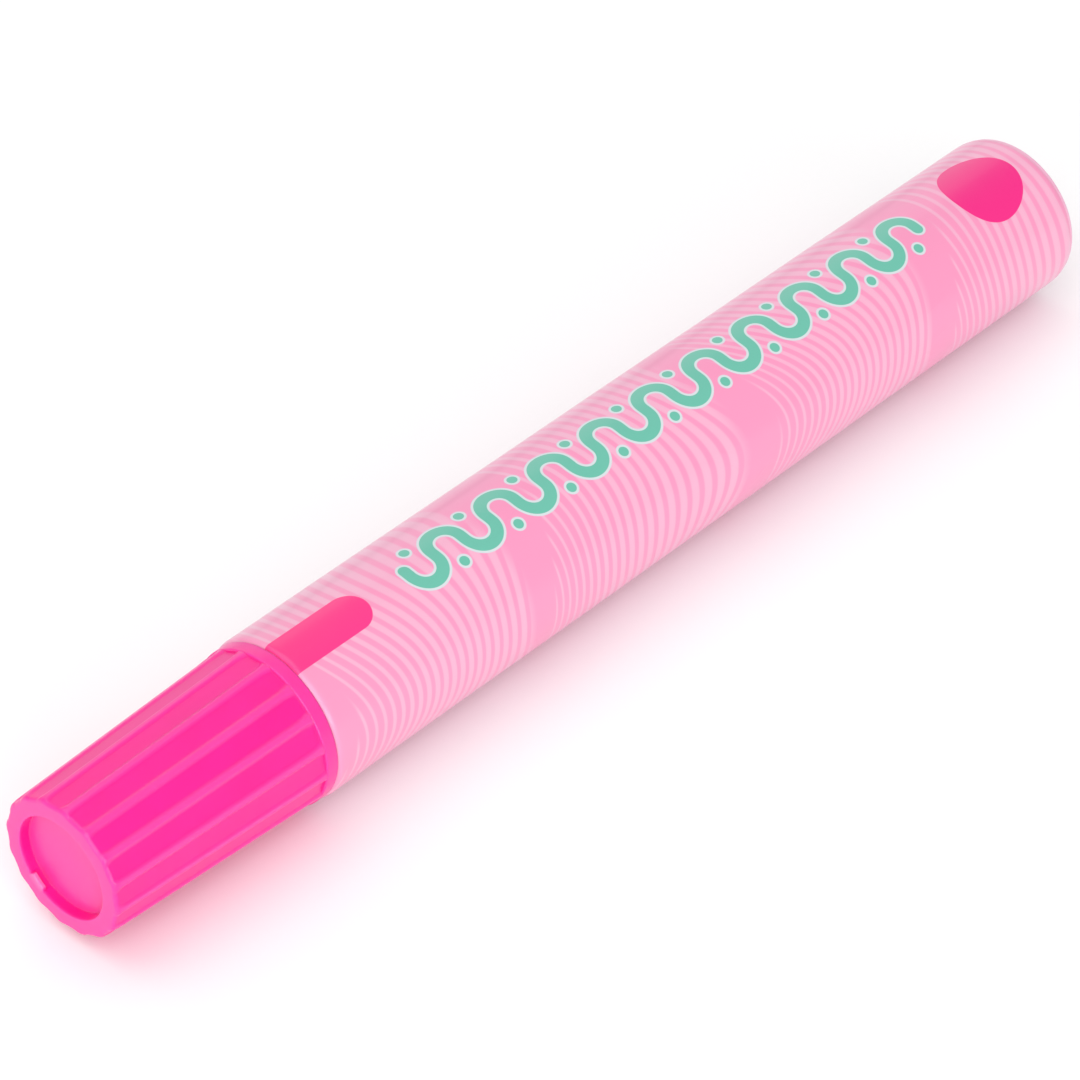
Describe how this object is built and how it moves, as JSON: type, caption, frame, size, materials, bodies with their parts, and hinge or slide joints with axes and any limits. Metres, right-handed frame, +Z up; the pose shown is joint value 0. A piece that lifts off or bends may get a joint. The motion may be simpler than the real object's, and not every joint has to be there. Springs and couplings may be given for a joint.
{
  "type": "glue tube",
  "caption": "Slim film-covered liquid glue tube with a fluted push-on cap over a sprung press valve and a domed sponge nib.",
  "frame": {"origin": "on the surface that the tube lies on, below the middle of its length", "axes": "+X along the tube from its cap to its base, +Z up, +Y to the left when looking from the cap to the base"},
  "size_m": [0.191, 0.024, 0.024],
  "materials": {
    "barrel_plastic": "satin moulded polypropylene",
    "label_film": "printed shrink film with a soft gloss",
    "glue": "clear water-based glue",
    "insert_plastic": "satin moulded white",
    "valve_plastic": "natural moulded",
    "spring_steel": "drawn stainless wire",
    "gasket_rubber": "soft translucent",
    "sponge": "open-cell foam",
    "cap_plastic": "semi-gloss moulded hot pink",
    "liner_plastic": "soft natural moulded"
  },
  "bodies": {
    "tube": {"barrel": "barrel_plastic", "label_sleeve": "label_film", "glue_fill": "glue", "neck_insert": "insert_plastic", "valve_cage": "valve_plastic", "valve_spring": "spring_steel"},
    "applicator": {"valve_stem": "valve_plastic", "valve_gasket": "gasket_rubber", "nib_holder": "insert_plastic", "sponge_nib": "sponge"},
    "cap": {"cap_shell": "cap_plastic", "cap_liner": "liner_plastic"}
  },
  "joints": [
    {"name": "cap_pull", "type": "slide", "parent": "tube", "child": "cap", "axis": [-1, 0, 0], "range_m": [0, 0.045]},
    {"name": "nib_press", "type": "slide", "parent": "tube", "child": "applicator", "axis": [1, 0, 0], "range_m": [0, 0.0025], "stiffness_N_per_m": 300, "springref_m": -0.004, "deforming": ["valve_spring"]}
  ]
}
